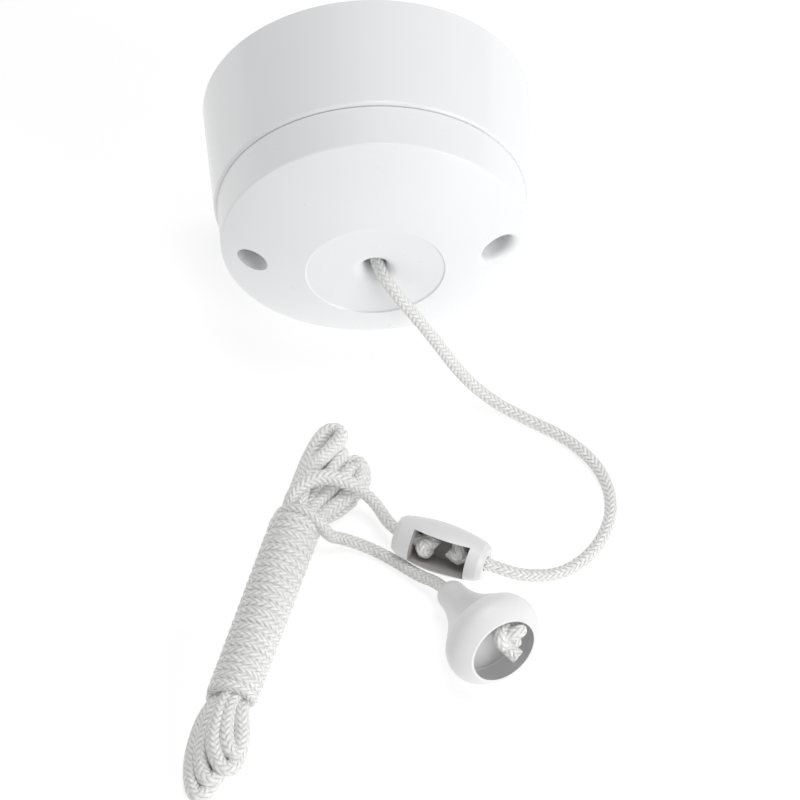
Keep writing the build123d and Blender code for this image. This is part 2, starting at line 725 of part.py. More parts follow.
def corner_radii(points):
    """The largest arc that each corner's two runs allow."""
    corners = [Vector(*point) for point in points]
    radii = []
    for before, here, after in zip(corners, corners[1:], corners[2:]):
        arriving = here - before
        leaving = after - here
        half_turn = radians(arriving.get_angle(leaving)) / 2
        radii.append(0.45 * min(arriving.length, leaving.length) / tan(half_turn))
    return radii


def cord_tube(points, name):
    """Straight runs joined by tangent arcs, swept with the cord's round section."""
    radii = corner_radii(points)
    with BuildPart() as tube:
        with BuildLine() as route:
            FilletPolyline(*points, radius=radii)
        path = route.wires()[0]
        with BuildSketch(Plane(origin=path @ 0, z_dir=path % 0)):
            Circle(CORD_R)
        sweep(path=path)
    length = path.length
    expected = length * pi * CORD_R**2
    print(name, "length", round(length, 1), "volume ratio", round(tube.part.volume / expected, 4))
    print(name, "radii", [round(radius, 1) for radius in radii])
    save(tube.part, name)


def on_axis(start, axis, distance):
    """A point on a line, as plain numbers."""
    return tuple(start + axis * distance)


with BuildPart() as inner_knot:
    with BuildSketch(FACE.offset(HOUSING_BACK + 0.6)):
        Circle(INNER_KNOT_R)
    extrude(amount=PLUNGER_BACK - HOUSING_BACK - 0.6)
    fillet(inner_knot.edges(), 1.2)
save(inner_knot.part, "inner_knot")

with BuildPart() as cord_inner:
    with BuildSketch(FACE.offset(PLUNGER_BACK)):
        Circle(CORD_R)
    extrude(amount=INNER_CORD_END - PLUNGER_BACK)
save(cord_inner.part, "cord_inner")

SHORT_ROUTE = [
    (0.0, -INNER_CORD_END, 0.0),
    (0.5, -51.8, -0.2),
    (4.9, -57.2, -3.9),
    (10.6, -59.8, -12.0),
    (16.0, -61.3, -21.8),
    (21.6, -63.7, -31.6),
    (29.0, -67.1, -38.8),
    (38.6, -72.2, -41.4),
    (48.8, -78.6, -41.4),
    (56.8, -88.4, -41.4),
    (59.0, -100.4, -41.4),
    (54.2, -112.0, -41.4),
    (44.6, -119.8, -41.2),
    (34.0, -121.2, -38.9),
    on_axis(CONNECTOR_LEFT, connector_axis, CONNECTOR_LENGTH + 3.0),
    on_axis(CONNECTOR_LEFT, connector_axis, 18.9),
]
cord_tube(SHORT_ROUTE, "cord_short")

HANK_ROUTE = [
    on_axis(CONNECTOR_LEFT, connector_axis, 5.5),
    on_axis(CONNECTOR_LEFT, connector_axis, -1.3),
    (-2.3, -98.2, -36.8),
    (-9.0, -94.6, -32.6),
    (-16.6, -93.9, -30.6),
    (-23.4, -98.0, -31.7),
    (-25.6, -105.4, -34.8),
]
cord_tube(HANK_ROUTE, "cord_to_hank")

BELL_ROUTE = [
    (-19.6, -106.0, -37.2),
    (-12.0, -107.0, -40.3),
    (-4.2, -109.4, -41.4),
    (2.4, -113.8, -41.4),
    (8.0, -118.9, -40.7),
    on_axis(bell_neck, bell_axis, -3.2),
    on_axis(bell_neck, bell_axis, 16.5),
    tuple(bell_knot_spot - bell_axis * 2.9),
]
cord_tube(BELL_ROUTE, "cord_to_bell")

# The hank: a bundle of long loops bound round its middle with close turns of the same cord.
# Each station is its centre on the table, half its width and half its height.
HANK_STATIONS = [
    ((-12.6, -75.2), 3.0, 2.4),
    ((-13.0, -82.2), 6.8, 3.6),
    ((-12.8, -92.4), 9.6, 4.4),
    ((-21.2, -104.6), 6.5, 6.3),
    ((-30.6, -129.5), 6.3, 6.25),
    ((-40.0, -154.4), 6.5, 6.3),
    ((-43.2, -164.0), 7.4, 5.0),
    ((-45.0, -173.3), 6.8, 4.0),
    ((-47.6, -180.2), 2.8, 2.4),
]
HANK_HEADING = -110.6
HANK_LIFT = 0.02
with BuildPart() as cord_hank:
    for (x, y), half_width, half_height in HANK_STATIONS:
        centre = (x, y, TABLE_Z + half_height + HANK_LIFT)
        with BuildSketch(Plane(origin=centre, z_dir=heading(HANK_HEADING))):
            Ellipse(half_width, half_height)
    loft()
save(cord_hank.part, "cord_hank")
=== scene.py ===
import json
import math

import bpy
import numpy as np
from mathutils import Matrix, Vector


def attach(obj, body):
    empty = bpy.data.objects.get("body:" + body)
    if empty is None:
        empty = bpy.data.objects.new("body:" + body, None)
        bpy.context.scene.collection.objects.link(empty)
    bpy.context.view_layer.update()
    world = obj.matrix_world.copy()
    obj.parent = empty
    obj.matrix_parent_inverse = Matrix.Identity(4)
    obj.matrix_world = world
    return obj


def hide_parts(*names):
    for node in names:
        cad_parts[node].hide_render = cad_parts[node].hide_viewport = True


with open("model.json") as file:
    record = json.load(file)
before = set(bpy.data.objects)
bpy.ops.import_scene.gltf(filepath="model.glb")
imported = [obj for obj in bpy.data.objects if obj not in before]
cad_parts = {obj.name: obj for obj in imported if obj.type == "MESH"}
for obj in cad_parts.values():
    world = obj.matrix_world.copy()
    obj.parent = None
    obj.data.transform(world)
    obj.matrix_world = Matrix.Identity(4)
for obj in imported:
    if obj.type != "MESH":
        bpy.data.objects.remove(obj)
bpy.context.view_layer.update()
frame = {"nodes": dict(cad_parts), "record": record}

# Pull cord switch lying on a table. Metres, in the CAD's frame; routes are written in millimetres.
MM = 0.001
TABLE_Z = -43.0
nodes = frame["nodes"]
scene = bpy.context.scene

# ---------------------------------------------------------------- camera

CAMERA_PLACE = (-15.5, -519.3, 625.3)
LENS = 138.55
SENSOR_WIDTH = 36
VIEW_AZIMUTH = math.radians(-2.672)
VIEW_ELEVATION = math.radians(55.667)
back = Vector(
    (
        math.sin(VIEW_AZIMUTH) * math.cos(VIEW_ELEVATION),
        -math.cos(VIEW_AZIMUTH) * math.cos(VIEW_ELEVATION),
        math.sin(VIEW_ELEVATION),
    )
)
right = Vector((math.cos(VIEW_AZIMUTH), math.sin(VIEW_AZIMUTH), 0))
up = back.cross(right)
camera_data = bpy.data.cameras.new("camera")
camera_data.lens = LENS
camera_data.sensor_width = SENSOR_WIDTH
camera = bpy.data.objects.new("camera", camera_data)
scene.collection.objects.link(camera)
turn = Matrix((right, up, back)).transposed().to_4x4()
camera.matrix_world = Matrix.Translation(Vector(CAMERA_PLACE) * MM) @ turn
scene.camera = camera

# ---------------------------------------------------------------- material helpers


class Shader:
    """A material's node tree, with short calls for the nodes that the materials share."""

    def __init__(self, name):
        self.material = bpy.data.materials.new(name)
        self.material.use_nodes = True
        self.tree = self.material.node_tree
        self.surface = self.tree.nodes["Principled BSDF"]

    def node(self, kind, **settings):
        made = self.tree.nodes.new(kind)
        for key, value in settings.items():
            setattr(made, key, value)
        return made

    def put(self, socket, value):
        if isinstance(value, bpy.types.NodeSocket):
            self.tree.links.new(value, socket)
        else:
            socket.default_value = value

    def maths(self, operation, first, second=0.0, third=0.0):
        made = self.node("ShaderNodeMath", operation=operation)
        self.put(made.inputs[0], first)
        self.put(made.inputs[1], second)
        self.put(made.inputs[2], third)
        return made.outputs[0]

    def place(self):
        return self.node("ShaderNodeTexCoord").outputs["Object"]

    def noise(self, vector, scale, detail=2.0, roughness=0.5):
        made = self.node("ShaderNodeTexNoise")
        self.put(made.inputs["Vector"], vector)
        self.put(made.inputs["Scale"], scale)
        self.put(made.inputs["Detail"], detail)
        self.put(made.inputs["Roughness"], roughness)
        return made.outputs["Fac"]

    def spread(self, value, low, high, to_low, to_high):
        made = self.node("ShaderNodeMapRange")
        for socket, number in zip(made.inputs, (value, low, high, to_low, to_high)):
            self.put(socket, number)
        return made.outputs["Result"]

    def mix(self, factor, first, second):
        made = self.node("ShaderNodeMix", data_type="RGBA")
        self.put(made.inputs["Factor"], factor)
        self.put(made.inputs[6], first)
        self.put(made.inputs[7], second)
        return made.outputs[2]

    def bump(self, height, distance, strength=1.0, normal=None):
        made = self.node("ShaderNodeBump")
        self.put(made.inputs["Height"], height)
        self.put(made.inputs["Distance"], distance)
        self.put(made.inputs["Strength"], strength)
        if normal is not None:
            self.put(made.inputs["Normal"], normal)
        return made.outputs["Normal"]


def rgb(red, green, blue):
    return (red, green, blue, 1.0)


PLASTIC_IOR = 1.5


def plastic(name, colour, shade, rough, ripple):
    """Moulded plastic: faint cloudiness, flow marks and a fine grain in its polish, and a slow ripple."""
    make = Shader(name)
    spot = make.place()
    cloud = make.noise(spot, 55.0, 3.0)
    flow = make.noise(spot, 240.0, 4.0, 0.6)
    tint = make.mix(make.spread(cloud, 0.3, 0.7, 0.0, 1.0), colour, shade)
    make.put(make.surface.inputs["Base Color"], tint)
    fine = make.noise(spot, 1500.0, 2.0)
    marks = make.spread(flow, 0.35, 0.75, rough - 0.01, rough + 0.02)
    polish = make.maths("ADD", marks, make.maths("MULTIPLY", fine, 0.01))
    make.put(make.surface.inputs["Roughness"], polish)
    wave = make.noise(spot, 45.0, 1.0)
    make.put(make.surface.inputs["Normal"], make.bump(wave, ripple, 0.5))
    make.put(make.surface.inputs["IOR"], PLASTIC_IOR)
    return make.material


def metal(name, colour, shade, rough, streak):
    """Plated or drawn metal: fine drawn lines, tarnish in patches and uneven polish."""
    make = Shader(name)
    spot = make.place()
    stretch = make.node("ShaderNodeMapping")
    make.put(stretch.inputs["Vector"], spot)
    stretch.inputs["Scale"].default_value = (1.0, streak, 1.0)
    lines = make.noise(stretch.outputs["Vector"], 3200.0, 3.0)
    patch = make.noise(spot, 380.0, 3.0, 0.6)
    tint = make.mix(make.spread(patch, 0.4, 0.75, 0.0, 1.0), colour, shade)
    make.put(make.surface.inputs["Base Color"], tint)
    make.put(make.surface.inputs["Roughness"], make.spread(lines, 0.3, 0.7, rough - 0.05, rough + 0.12))
    make.put(make.surface.inputs["Normal"], make.bump(lines, 0.00001, 0.4))
    make.surface.inputs["Metallic"].default_value = 1.0
    return make.material


# ---------------------------------------------------------------- cord helpers

CORD_R = 1.56
# Yarns round the cord, a stitch's length, the braid's depth, and the braid height that lies at CORD_R
CARRIERS = 8
PICK = 1.55
RELIEF = 0.16
MIDDLE_HEIGHT = 0.45
# Spacing of the rings in a stretch that nothing shows
COARSE_STEP = 1.2
FILAMENTS = 4


def spline_line(route, resolution):
    """Points along one smooth NURBS spline that has the route as its control points."""
    curve = bpy.data.curves.new("route", "CURVE")
    curve.dimensions = "3D"
    curve.resolution_u = resolution
    spline = curve.splines.new("NURBS")
    spline.points.add(len(route) - 1)
    for point, place in zip(spline.points, route):
        point.co = (*(Vector(place) * MM), 1.0)
    spline.order_u = 3
    spline.use_endpoint_u = True
    holder = bpy.data.objects.new("route", curve)
    scene.collection.objects.link(holder)
    bpy.context.view_layer.update()
    mesh = bpy.data.meshes.new_from_object(holder)
    points = np.empty(len(mesh.vertices) * 3)
    mesh.vertices.foreach_get("co", points)
    bpy.data.objects.remove(holder)
    bpy.data.curves.remove(curve)
    bpy.data.meshes.remove(mesh)
    return points.reshape(-1, 3)


def lengths_along(points):
    return np.concatenate([[0.0], np.cumsum(np.linalg.norm(np.diff(points, axis=0), axis=1))])


def braid_height(around, along):
    """Height of a two-over-two braid, 0 in its crevices to 1 on its crowns.

    around is in carriers and along is in picks."""
    first = around + along
    second = around - along

    def crown(value):
        return np.sqrt(np.clip(1.0 - (2.0 * (value - np.round(value))) ** 2, 0.0, 1.0))

    over = 0.5 + 0.5 * np.cos(np.pi / 2 * (np.round(first) + second) - np.pi / 4)
    under = 0.5 - 0.5 * np.cos(np.pi / 2 * (first + np.round(second)) - np.pi / 4)
    return np.maximum(crown(first) * over, crown(second) * under)


def braided_tube(
    name, line, radius, material, body, step=0.30, sides=24, coarse=None, swell=None, relief=RELIEF, groove_shade=None
):
    """A closed mesh tube along a line, with the braid's relief in its surface.

    coarse is a test for stretches that nothing shows; swell gives a radius factor at a place;
    groove_shade gives the painted shade on each side of a ring, from 0 to 1, by how far down it lies in a
    groove between turns."""
    reach = lengths_along(line) / MM
    total = reach[-1]
    stations = [0.0]
    while stations[-1] < total - step:
        here = np.array([np.interp(stations[-1], reach, line[:, axis]) for axis in range(3)])
        stations.append(stations[-1] + (COARSE_STEP if coarse and coarse(here / MM) else step))
    stations.append(total)
    stations = np.array(stations)
    centre = np.stack([np.interp(stations, reach, line[:, axis]) for axis in range(3)], axis=1)
    tangent = np.gradient(centre, axis=0)
    tangent /= np.linalg.norm(tangent, axis=1)[:, None]
    side = np.empty_like(tangent)
    start = np.cross(tangent[0], (0.0, 0.0, 1.0))
    side[0] = start / np.linalg.norm(start)
    for index in range(1, len(stations)):
        carried = side[index - 1] - tangent[index] * side[index - 1].dot(tangent[index])
        side[index] = carried / np.linalg.norm(carried)
    other = np.cross(tangent, side)
    angle = np.arange(sides) / sides
    height = braid_height(CARRIERS * angle[None, :], stations[:, None] / PICK)
    reach_out = radius + relief * (height - MIDDLE_HEIGHT)
    if swell is not None:
        reach_out = reach_out * np.array([swell(place) for place in centre / MM])[:, None]
    turns = 2 * np.pi * angle
    ring = np.cos(turns)[None, :, None] * side[:, None, :] + np.sin(turns)[None, :, None] * other[:, None, :]
    points = centre[:, None, :] + ring * (reach_out * MM)[:, :, None]
    count = len(stations)
    vertices = np.concatenate([points.reshape(-1, 3), centre[:1], centre[-1:]])
    row = np.arange(count - 1)[:, None] * sides
    here = np.arange(sides)[None, :]
    after = (here + 1) % sides
    corners = [row + here, row + after, row + sides + after, row + sides + here]
    quads = np.stack(corners, axis=-1).reshape(-1, 4)
    first_cap = [(count * sides, (k + 1) % sides, k) for k in range(sides)]
    last = (count - 1) * sides
    last_cap = [(count * sides + 1, last + k, last + (k + 1) % sides) for k in range(sides)]
    mesh = bpy.data.meshes.new(name)
    mesh.from_pydata(vertices.tolist(), [], quads.tolist() + first_cap + last_cap)
    mesh.polygons.foreach_set("use_smooth", [True] * len(mesh.polygons))
    # Painted shade in the grooves between the binding's turns, kept per vertex for the cord's material to
    # darken its colour.
    depth = np.zeros(len(vertices))
    if groove_shade is not None:
        depth[: count * sides] = np.concatenate([groove_shade(place, out) for place, out in zip(centre / MM, ring)])
    mesh.attributes.new("groove_shade", "FLOAT", "POINT").data.foreach_set("value", depth)
    # UV: carriers around and picks along, so that the yarns' fine lines follow the braid
    corner_u = np.stack([here, here + 1, here + 1, here], axis=-1) * (CARRIERS / sides)
    corner_u = np.broadcast_to(corner_u, (count - 1, sides, 4))
    low = stations[:-1, None] / PICK
    high = stations[1:, None] / PICK
    corner_v = np.stack([low, low, high, high], axis=-1) + np.zeros((1, sides, 1))
    quad_uv = np.stack([corner_u, corner_v], axis=-1).reshape(-1)
    layer = mesh.uv_layers.new(name="braid")
    layer.data.foreach_set("uv", np.concatenate([quad_uv, np.zeros(2 * sides * 3 * 2)]))
    made = bpy.data.objects.new(name, mesh)
    scene.collection.objects.link(made)
    made.data.materials.append(material)
    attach(made, body)
    return made


def cord_material():
    """White braided nylon: each yarn's fine filaments, brighter and duller stitches, a silky sheen, and
    painted shade in the braid's crevices and in the grooves between the binding's turns.
    """
    make = Shader("braided_nylon")
    chart = make.node("ShaderNodeUVMap", uv_map="braid")
    parts = make.node("ShaderNodeSeparateXYZ")
    make.put(parts.inputs[0], chart.outputs["UV"])
    around, along = parts.outputs["X"], parts.outputs["Y"]
    first = make.maths("ADD", around, along)
    second = make.maths("SUBTRACT", around, along)

    def crown(value):
        off = make.maths("MULTIPLY", make.maths("SUBTRACT", value, make.maths("ROUND", value)), 2.0)
        under_arc = make.maths("SUBTRACT", 1.0, make.maths("MULTIPLY", off, off))
        return make.maths("SQRT", make.maths("MAXIMUM", under_arc, 0.0))

    def swing(value, across):
        crossing = make.maths("ADD", make.maths("ROUND", value), across)
        return make.maths("COSINE", make.maths("MULTIPLY_ADD", crossing, math.pi / 2, -math.pi / 4))

    over = make.maths("MULTIPLY", crown(first), make.maths("MULTIPLY_ADD", swing(first, second), 0.5, 0.5))
    under = make.maths("MULTIPLY", crown(second), make.maths("MULTIPLY_ADD", swing(second, first), -0.5, 0.5))
    height = make.maths("MAXIMUM", over, under)
    on_top = make.maths("GREATER_THAN", over, under)
    lines_first = make.maths("SINE", make.maths("MULTIPLY", first, 2 * math.pi * FILAMENTS))
    lines_second = make.maths("SINE", make.maths("MULTIPLY", second, 2 * math.pi * FILAMENTS))
    lines = make.node("ShaderNodeMix", data_type="FLOAT")
    make.put(lines.inputs["Factor"], on_top)
    make.put(lines.inputs[2], lines_second)
    make.put(lines.inputs[3], lines_first)
    spot = make.place()
    fuzz = make.noise(spot, 4200.0, 3.0, 0.65)
    soil = make.noise(spot, 90.0, 3.0)
    clean = make.mix(make.spread(soil, 0.35, 0.7, 0.0, 1.0), rgb(0.97, 0.97, 0.96), rgb(0.93, 0.93, 0.915))
    # Painted shade in the braid's crevices: the colour darkens where the braid lies low and is full on its
    # crowns.
    painted_crevice_shade = make.spread(height, 0.25, 0.85, 0.0, 1.0)
    stitch = make.noise(spot, 900.0, 1.0, 0.4)
    bright = make.mix(make.spread(stitch, 0.4, 0.62, 0.0, 1.0), clean, rgb(0.86, 0.86, 0.84))
    yarns_with_crevice_shade = make.mix(painted_crevice_shade, rgb(0.76, 0.76, 0.74), bright)
    # Painted shade in the grooves between the binding's turns: the colour darkens towards a grey.
    groove_shade = make.node("ShaderNodeAttribute", attribute_name="groove_shade").outputs["Fac"]
    yarns_with_groove_shade = make.mix(make.maths("MULTIPLY", groove_shade, 0.6), yarns_with_crevice_shade, rgb(0.68, 0.68, 0.66))
    make.put(make.surface.inputs["Base Color"], yarns_with_groove_shade)
    shape = make.bump(height, 0.0003, 1.0)
    yarn = make.bump(lines.outputs[0], 0.00003, 0.45, shape)
    make.put(make.surface.inputs["Normal"], make.bump(fuzz, 0.00004, 0.35, yarn))
    make.put(make.surface.inputs["Roughness"], make.spread(stitch, 0.38, 0.62, 0.18, 0.5))
    make.surface.inputs["Specular IOR Level"].default_value = 0.75
    make.surface.inputs["Sheen Weight"].default_value = 0.3
    make.surface.inputs["Sheen Roughness"].default_value = 0.4
    make.surface.inputs["Subsurface Weight"].default_value = 0.12
    make.surface.inputs["Subsurface Radius"].default_value = (0.6, 0.6, 0.55)
    make.surface.inputs["Subsurface Scale"].default_value = 0.0006
    return make.material


CORD = cord_material()

# ---------------------------------------------------------------- short cord


def heading(degrees_from_x, degrees_up=0.0):
    level = math.radians(degrees_from_x)
    rise = math.radians(degrees_up)
    return Vector((math.cos(level) * math.cos(rise), math.sin(level) * math.cos(rise), math.sin(rise)))


CONNECTOR_LEFT = Vector((3.05, -108.4, -36.4))
CONNECTOR_LENGTH = 24.0
# Along the connector, where the long and the short cord end at their knots
LONG_CORD_START = 5.5
SHORT_CORD_END = 18.9
connector_axis = heading(-25.0)
BELL_MOUTH = Vector((27.2, -148.2, -28.85))
BELL_LENGTH = 26.9
# From the bell's neck to the ridge between its flare and its cup
BELL_RIDGE = 19.3
bell_axis = heading(-61.0, 17.0)
bell_side = heading(29.0)
bell_up = bell_axis.cross(bell_side)
bell_neck = BELL_MOUTH - bell_axis * BELL_LENGTH
bell_knot = BELL_MOUTH - bell_axis * 0.8 + bell_side * 2.2 + bell_up * 2.6


def on_axis(start, axis, distance):
    return tuple(start + axis * distance)


SHORT_ROUTE = [
    (0.0, -46.0, 0.0),
    (0.5, -51.8, -0.2),
    (4.9, -57.2, -3.9),
    (10.6, -59.8, -12.0),
    (16.0, -61.3, -21.8),
    (21.6, -63.7, -31.6),
    (29.0, -67.1, -38.8),
    (38.6, -72.2, -41.4),
    (48.8, -78.6, -41.4),
    (56.8, -88.4, -41.4),
    (59.0, -100.4, -41.4),
    (54.2, -112.0, -41.4),
    (44.6, -119.8, -41.2),
    (34.0, -121.2, -38.9),
    on_axis(CONNECTOR_LEFT, connector_axis, CONNECTOR_LENGTH + 3.0),
    on_axis(CONNECTOR_LEFT, connector_axis, SHORT_CORD_END),
]
short_line = spline_line(SHORT_ROUTE, 40)
short_cord = braided_tube("cord_short_braid", short_line, CORD_R, CORD, "pull", step=0.16, sides=36)
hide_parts("cord_short")

inner_line = np.linspace((0.0, -27.6, 0.0), (0.0, -46.4, 0.0), 60) * MM
inner_cord = braided_tube("cord_inner_braid", inner_line, CORD_R, CORD, "pull", step=0.3, sides=24)
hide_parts("cord_inner")

# ---------------------------------------------------------------- long cord: connector, hank, bell

# The head end of the hank's binding, and the directions along the hank and across it
HANK_HEAD = Vector((-21.2, -104.6, 0.0))
hank_along = Vector((-0.3518, -0.9361, 0.0))
hank_across = Vector((0.9361, -0.3518, 0.0))
# The binding's length, and its middle line's height above the table
BARREL = 53.0
BARREL_HEIGHT = 6.3
# The ring of strands inside the binding; within CORE_REACH of the middle line nothing of a strand shows
CORE_R = 2.35
CORE_REACH = 3.6
# The binding: its radius at the tail, its turns, the points in a turn, its start and how far it travels
WRAP_R = 4.72
WRAPS = 22
WRAP_POINTS = 14
WRAP_START = BARREL - 0.9
WRAP_TRAVEL = BARREL - 1.2
# Towards the head it grows, and leans to the left
WRAP_GROWTH = 0.3
WRAP_LEAN = -1.1
WRAP_LIFT = 0.02


def hank(along, across, height):
    """A point by its place along the hank from its head, across it to the right, and above the table."""
    spot = HANK_HEAD + hank_along * along + hank_across * across
    return (spot.x, spot.y, TABLE_Z + height)


def core(number, along):
    """A strand's place inside the binding: one in the middle and eight round it."""
    if number == 8:
        return hank(along, 0.0, BARREL_HEIGHT)
    angle = math.radians(45 * number)
    return hank(along, CORE_R * math.cos(angle), BARREL_HEIGHT + CORE_R * math.sin(angle))


def through(number, down):
    """The straight stretch inside the binding, towards the tail when down, else towards the head."""
    places = [3.0, 14.0, 26.0, 38.0, 50.0]
    return [core(number, along) for along in (places if down else reversed(places))]


# Loops past the binding's tail end, each with its way out and its way back
TAIL_LONG = [
    (55.5, -4.4, 4.6), (60.5, -5.3, 2.6), (66.5, -5.0, 1.9), (71.8, -3.8, 1.8),
    (75.4, -2.2, 1.8), (78.0, -0.4, 1.8), (77.2, 1.7, 1.9), (73.2, 2.6, 2.0), (67.5, 1.6, 1.9),
    (61.5, 0.6, 1.9), (56.0, 0.0, 3.2),
]
TAIL_SECOND = [
    (55.5, -2.9, 6.6), (60.8, -3.2, 5.6), (65.8, -3.0, 4.6), (70.0, -1.7, 4.2),
    (73.6, 0.2, 4.0), (74.4, 2.4, 3.8), (71.2, 3.8, 3.2), (65.5, 3.3, 3.3), (60.5, 1.9, 3.4),
    (55.8, 0.8, 4.8),
]
TAIL_WIDE = [
    (55.5, -1.2, 8.6), (60.0, -0.9, 8.1), (64.6, -0.4, 7.2), (68.4, 1.3, 6.6), (71.0, 3.9, 5.9),
    (70.2, 6.4, 5.0), (65.4, 6.6, 4.4), (60.5, 5.6, 4.4), (56.0, 4.0, 5.2),
]
TAIL_INNER = [
    (55.5, 0.8, 8.6), (59.0, 1.3, 8.2), (62.6, 2.2, 7.6), (65.8, 3.9, 6.6), (66.6, 5.9, 5.4),
    (63.8, 6.4, 5.4), (59.6, 5.2, 6.2), (55.8, 3.6, 7.4),
]
# Loops past its head end
HEAD_TALL = [
    (-2.5, -2.6, 7.0), (-7.5, -4.6, 5.4), (-13.5, -5.0, 4.6), (-20.0, -5.1, 4.4),
    (-25.6, -4.7, 4.3), (-29.8, -3.6, 4.3), (-31.2, -1.5, 4.5), (-30.2, 0.8, 4.8),
    (-26.6, 0.7, 5.4), (-22.0, -0.8, 6.4), (-17.4, -2.3, 7.6), (-12.0, -3.0, 8.4),
    (-7.0, -2.3, 8.8), (-2.0, -0.9, 9.0),
]
HEAD_UNDER = [
    (-2.5, -2.2, 4.0), (-8.0, -3.2, 2.2), (-14.5, -3.2, 1.9), (-20.5, -2.2, 1.9),
    (-24.6, -0.6, 2.2), (-26.4, 1.2, 2.8), (-24.6, 2.8, 3.6), (-20.8, 2.2, 4.2),
    (-16.5, 1.0, 4.2), (-10.0, 0.2, 5.4), (-3.0, 0.2, 6.4),
]
HEAD_WIDE = [
    (-2.5, 1.4, 3.6), (-8.0, 1.6, 2.0), (-14.0, 2.4, 1.9), (-19.6, 3.6, 1.9), (-24.6, 4.6, 1.9),
    (-25.6, 7.0, 2.0), (-22.4, 9.9, 2.0), (-18.6, 10.6, 2.0), (-15.0, 9.4, 2.1),
    (-10.2, 7.4, 2.3), (-4.6, 4.2, 3.6),
]
HEAD_SHORT = [
    (-2.5, 0.9, 7.4), (-7.0, 1.6, 5.9), (-12.0, 3.4, 4.9), (-17.4, 5.2, 4.4), (-21.8, 6.6, 4.0),
    (-22.4, 8.8, 3.8), (-18.4, 9.4, 4.0), (-13.6, 8.4, 4.4), (-8.6, 6.2, 5.0), (-4.2, 3.6, 5.8),
]


def loop(places):
    return [hank(*place) for place in places]


ARRIVAL = [
    on_axis(CONNECTOR_LEFT, connector_axis, LONG_CORD_START),
    on_axis(CONNECTOR_LEFT, connector_axis, -1.3),
    (-2.3, -98.2, -36.8),
    (-9.0, -94.6, -32.6),
    (-16.6, -93.9, -30.6),
    (-23.4, -98.0, -31.7),
    (-25.0, -104.4, -34.4),
]
wraps = []
for index in range(WRAPS * WRAP_POINTS + 1):
    part = index / (WRAPS * WRAP_POINTS)
    angle = math.radians(180) - 2 * math.pi * WRAPS * part
    snug = (WRAP_R + WRAP_GROWTH * part) / math.cos(math.pi / WRAP_POINTS)
    across = WRAP_LEAN * part + snug * math.cos(angle)
    height = BARREL_HEIGHT + WRAP_LIFT + WRAP_GROWTH * part + snug * math.sin(angle)
    wraps.append(hank(WRAP_START - WRAP_TRAVEL * part, across, height))
DEPARTURE = [
    hank(-0.6, -4.0, 10.8),
    hank(-0.9, 0.6, 12.0),
    hank(0.2, 4.8, 10.2),
    hank(1.2, 8.0, 6.0),
    (-11.0, -107.2, -39.9),
    (-4.2, -109.4, -41.4),
    (2.4, -113.8, -41.4),
    (8.0, -118.9, -40.7),
    on_axis(bell_neck, bell_axis, -3.2),
    on_axis(bell_neck, bell_axis, 16.5),
    tuple(bell_knot - bell_axis * 2.9),
]
LONG_ROUTE = (
    ARRIVAL
    + through(3, True)
    + loop(TAIL_LONG)
    + through(6, False)
    + loop(HEAD_UNDER)
    + through(8, True)
    + loop(TAIL_SECOND)
    + through(5, False)
    + loop(HEAD_TALL)
    + through(2, True)
    + loop(TAIL_WIDE)
    + through(0, False)
    + loop(list(reversed(HEAD_SHORT)))
    + through(1, True)
    + loop(TAIL_INNER)
    + through(7, False)
    + loop(HEAD_WIDE)
    + through(4, True)
    + [hank(BARREL + 1.6, -2.4, 5.4), hank(BARREL + 1.6, -4.4, 4.6)]
    + wraps
    + DEPARTURE
)


def hank_place(place):
    """How far along the hank a point lies, and how far off the binding's middle line."""
    from_head = Vector(place) - HANK_HEAD
    off = math.hypot(from_head.dot(hank_across), place[2] - TABLE_Z - BARREL_HEIGHT)
    return from_head.dot(hank_along), off


# The stretch of the binding that hides the strands inside it
HIDDEN_START = 4.0
HIDDEN_END = BARREL - 5.0


def unseen(place):
    """True inside the binding, where the wraps hide the strands."""
    along, off = hank_place(place)
    return HIDDEN_START < along < HIDDEN_END and off < CORE_REACH


# The slack loops are this much fuller than the tight turns, reached over LOOP_EASE, which starts this far
# past the binding's head and tail
LOOP_FULLNESS = 0.24
LOOP_EASE = 5.0
PAST_HEAD = 3.0
PAST_TAIL = 1.0
# Right of this the cord has left the hank
HANK_RIGHT_X = -8.0


def loop_swell(place):
    """Radius factor of the long cord: fuller in the slack loops at the hank's two ends."""
    along = hank_place(place)[0]
    past = max(-PAST_HEAD - along, along - BARREL - PAST_TAIL)
    if place[0] > HANK_RIGHT_X:
        return 1.0
    return 1.0 + LOOP_FULLNESS * min(max(past / LOOP_EASE, 0.0), 1.0)


# The binding's turns lie farther off the hank's middle line than WRAP_NEAREST.
# A side gets painted shade, as lying in a groove, by how squarely it faces along the hank.
WRAP_NEAREST = 3.9
GROOVE_SHADE_STARTS = 0.5
GROOVE_SHADE_WIDTH = 0.35
# The painted groove shade reaches this far past the binding's head and tail
GROOVE_SHADE_PAST_HEAD = 1.0
GROOVE_SHADE_PAST_TAIL = 0.5


def groove(centre, outward):
    """Painted shade on each side of a turn of the binding, by how far down it lies in the groove beside its
    neighbour.
    """
    along, off = hank_place(centre)
    if not (-GROOVE_SHADE_PAST_HEAD < along < BARREL + GROOVE_SHADE_PAST_TAIL and off > WRAP_NEAREST):
        return np.zeros(len(outward))
    facing = np.abs(outward @ np.array(hank_along))
    return np.clip((facing - GROOVE_SHADE_STARTS) / GROOVE_SHADE_WIDTH, 0.0, 1.0)


long_line = spline_line(LONG_ROUTE, 10)
long_cord = braided_tube(
    "cord_long_braid",
    long_line,
    CORD_R,
    CORD,
    "pull",
    step=0.3,
    sides=24,
    coarse=unseen,
    swell=loop_swell,
    groove_shade=groove,
)
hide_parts("cord_to_hank", "cord_hank", "cord_to_bell")

# ---------------------------------------------------------------- knots

KNOT_POINTS = 15
# The knot's turn starts here and is left open by twice the gap, in degrees
KNOT_START = 60
KNOT_GAP = 34


